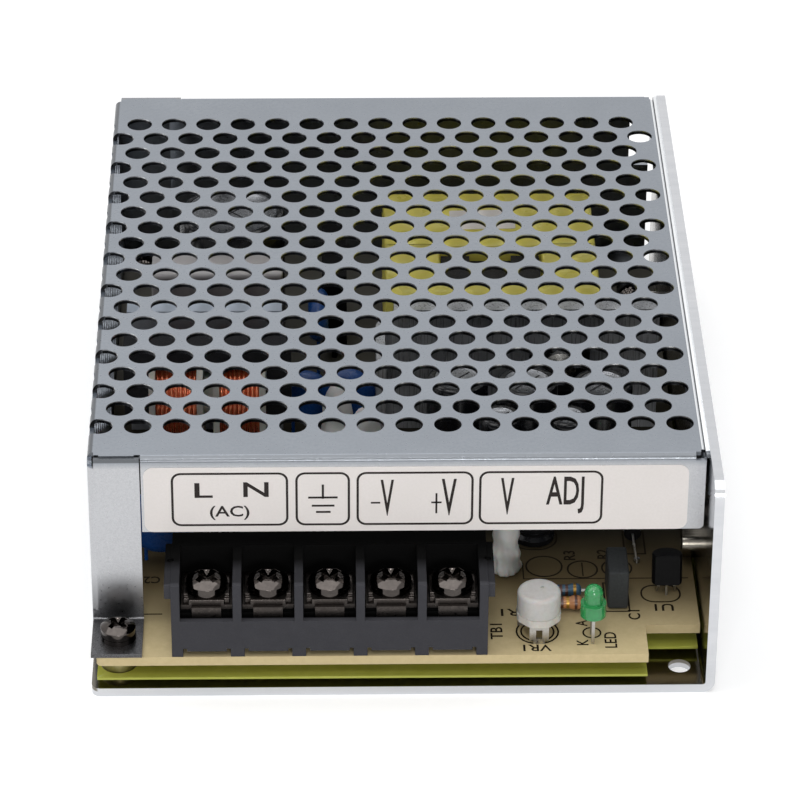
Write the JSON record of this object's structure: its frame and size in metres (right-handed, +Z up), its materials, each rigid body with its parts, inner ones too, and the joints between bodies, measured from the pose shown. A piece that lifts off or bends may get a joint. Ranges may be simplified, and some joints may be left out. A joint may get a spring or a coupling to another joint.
{
  "type": "enclosed switching power supply",
  "caption": "Open-ended power supply: circuit board on a folded aluminium chassis under a perforated steel cover, with a screw terminal block, lamp and voltage adjuster.",
  "frame": {"origin": "middle of the underside, where the chassis base stands", "axes": "+X to the right as seen from the terminals, +Y from the terminals to the closed end, +Z up out of the base"},
  "size_m": [0.097, 0.129, 0.038],
  "materials": {
    "chassis_aluminium": "satin",
    "cover_zinc": "satin",
    "film_yellow": "satin",
    "board_laminate": "matte",
    "standoff_steel": "satin",
    "screw_nickel": "polished",
    "washer_nickel": "polished",
    "board_screw_nickel": "polished",
    "cover_screw_nickel": "polished",
    "block_plastic": "satin",
    "trimmer_ivory": "satin",
    "trimmer_leg_tin": "satin",
    "trimmer_cap_grey": "satin",
    "lamp_green": "gloss",
    "lamp_lead_tin": "satin",
    "film_capacitor_grey": "satin",
    "regulator_epoxy": "matte",
    "regulator_lead_tin": "satin",
    "resistor_lacquer": "satin",
    "small_capacitor_sleeve": "satin",
    "silicone_white": "satin",
    "left_sink_aluminium": "satin",
    "right_sink_aluminium": "satin",
    "transistor_epoxy": "matte",
    "rectifier_epoxy": "matte",
    "sink_screw_steel": "polished",
    "core_ferrite": "matte",
    "tape_yellow": "satin",
    "bobbin_black": "matte",
    "bulk_sleeve": "satin",
    "output_sleeve_1": "satin",
    "output_sleeve_2": "satin",
    "output_sleeve_3": "satin",
    "output_sleeve_4": "satin",
    "output_sleeve_5": "satin",
    "choke_ferrite": "matte",
    "choke_ivory": "satin",
    "choke_copper": "gloss",
    "line_capacitor_cream": "satin",
    "disc_blue_1": "satin",
    "disc_blue_2": "satin",
    "disc_blue_3": "satin",
    "varistor_blue": "satin",
    "fuse_ceramic": "satin",
    "bridge_epoxy": "matte",
    "contact_nickel_1": "polished",
    "clamp_nickel_1": "polished",
    "terminal_screw_nickel_1": "polished",
    "contact_nickel_2": "polished",
    "clamp_nickel_2": "polished",
    "terminal_screw_nickel_2": "polished",
    "contact_nickel_3": "polished",
    "clamp_nickel_3": "polished",
    "terminal_screw_nickel_3": "polished",
    "contact_nickel_4": "polished",
    "clamp_nickel_4": "polished",
    "terminal_screw_nickel_4": "polished",
    "contact_nickel_5": "polished",
    "clamp_nickel_5": "polished",
    "terminal_screw_nickel_5": "polished"
  },
  "bodies": {
    "case": {"chassis": "chassis_aluminium", "cover": "cover_zinc", "insulation_film": "film_yellow", "circuit_board": "board_laminate", "board_standoffs": "standoff_steel", "foot_screw": "screw_nickel", "foot_washer": "washer_nickel", "board_screws": "board_screw_nickel", "cover_screws": "cover_screw_nickel", "terminal_block": "block_plastic", "trimmer_base": "trimmer_ivory", "trimmer_legs": "trimmer_leg_tin", "lamp_lens": "lamp_green", "lamp_leads": "lamp_lead_tin", "film_capacitor": "film_capacitor_grey", "regulator_body": "regulator_epoxy", "regulator_leads": "regulator_lead_tin", "front_resistors": "resistor_lacquer", "small_capacitor": "small_capacitor_sleeve", "silicone_bead": "silicone_white", "left_heatsink": "left_sink_aluminium", "right_heatsink": "right_sink_aluminium", "switch_transistor": "transistor_epoxy", "output_rectifier": "rectifier_epoxy", "sink_screws": "sink_screw_steel", "transformer_core": "core_ferrite", "transformer_winding": "tape_yellow", "transformer_bobbin": "bobbin_black", "bulk_capacitor": "bulk_sleeve", "output_capacitor_1": "output_sleeve_1", "output_capacitor_2": "output_sleeve_2", "output_capacitor_3": "output_sleeve_3", "output_capacitor_4": "output_sleeve_4", "output_capacitor_5": "output_sleeve_5", "choke_core": "choke_ferrite", "choke_bobbin": "choke_ivory", "choke_windings": "choke_copper", "line_capacitor": "line_capacitor_cream", "disc_capacitor_1": "disc_blue_1", "disc_capacitor_2": "disc_blue_2", "disc_capacitor_3": "disc_blue_3", "varistor": "varistor_blue", "fuse": "fuse_ceramic", "bridge_rectifier": "bridge_epoxy", "terminal_contact_1": "contact_nickel_1", "terminal_contact_2": "contact_nickel_2", "terminal_contact_3": "contact_nickel_3", "terminal_contact_4": "contact_nickel_4", "terminal_contact_5": "contact_nickel_5"},
    "clamp_1": {"clamp_plate_1": "clamp_nickel_1"},
    "screw_1": {"terminal_screw_1": "terminal_screw_nickel_1"},
    "clamp_2": {"clamp_plate_2": "clamp_nickel_2"},
    "screw_2": {"terminal_screw_2": "terminal_screw_nickel_2"},
    "clamp_3": {"clamp_plate_3": "clamp_nickel_3"},
    "screw_3": {"terminal_screw_3": "terminal_screw_nickel_3"},
    "clamp_4": {"clamp_plate_4": "clamp_nickel_4"},
    "screw_4": {"terminal_screw_4": "terminal_screw_nickel_4"},
    "clamp_5": {"clamp_plate_5": "clamp_nickel_5"},
    "screw_5": {"terminal_screw_5": "terminal_screw_nickel_5"},
    "adjuster": {"trimmer_cap": "trimmer_cap_grey"}
  },
  "joints": [
    {"name": "clamp_lift_1", "type": "slide", "parent": "case", "child": "clamp_1", "axis": [0, 0, 1], "range_m": [0, 0.003]},
    {"name": "screw_turn_1", "type": "hinge", "parent": "clamp_1", "child": "screw_1", "pos_m": [-0.03043, -0.0585, 0.0163], "axis": [0, 0, 1], "range_deg": [0, 1800]},
    {"name": "clamp_lift_2", "type": "slide", "parent": "case", "child": "clamp_2", "axis": [0, 0, 1], "range_m": [0, 0.003]},
    {"name": "screw_turn_2", "type": "hinge", "parent": "clamp_2", "child": "screw_2", "pos_m": [-0.02092, -0.0585, 0.0163], "axis": [0, 0, 1], "range_deg": [0, 1800]},
    {"name": "clamp_lift_3", "type": "slide", "parent": "case", "child": "clamp_3", "axis": [0, 0, 1], "range_m": [0, 0.003]},
    {"name": "screw_turn_3", "type": "hinge", "parent": "clamp_3", "child": "screw_3", "pos_m": [-0.01142, -0.0585, 0.0163], "axis": [0, 0, 1], "range_deg": [0, 1800]},
    {"name": "clamp_lift_4", "type": "slide", "parent": "case", "child": "clamp_4", "axis": [0, 0, 1], "range_m": [0, 0.003]},
    {"name": "screw_turn_4", "type": "hinge", "parent": "clamp_4", "child": "screw_4", "pos_m": [-0.00193, -0.0585, 0.0163], "axis": [0, 0, 1], "range_deg": [0, 1800]},
    {"name": "clamp_lift_5", "type": "slide", "parent": "case", "child": "clamp_5", "axis": [0, 0, 1], "range_m": [0, 0.003]},
    {"name": "screw_turn_5", "type": "hinge", "parent": "clamp_5", "child": "screw_5", "pos_m": [0.00758, -0.0585, 0.0163], "axis": [0, 0, 1], "range_deg": [0, 1800]},
    {"name": "adjuster_turn", "type": "hinge", "parent": "case", "child": "adjuster", "pos_m": [0.0211, -0.0583, 0.0116], "axis": [0, 0, 1], "range_deg": [-130, 130]}
  ],
  "couplings": [
    {"joint": "screw_turn_1", "follows": "clamp_lift_1", "rad_per_m": 10472},
    {"joint": "screw_turn_2", "follows": "clamp_lift_2", "rad_per_m": 10472},
    {"joint": "screw_turn_3", "follows": "clamp_lift_3", "rad_per_m": 10472},
    {"joint": "screw_turn_4", "follows": "clamp_lift_4", "rad_per_m": 10472},
    {"joint": "screw_turn_5", "follows": "clamp_lift_5", "rad_per_m": 10472}
  ]
}
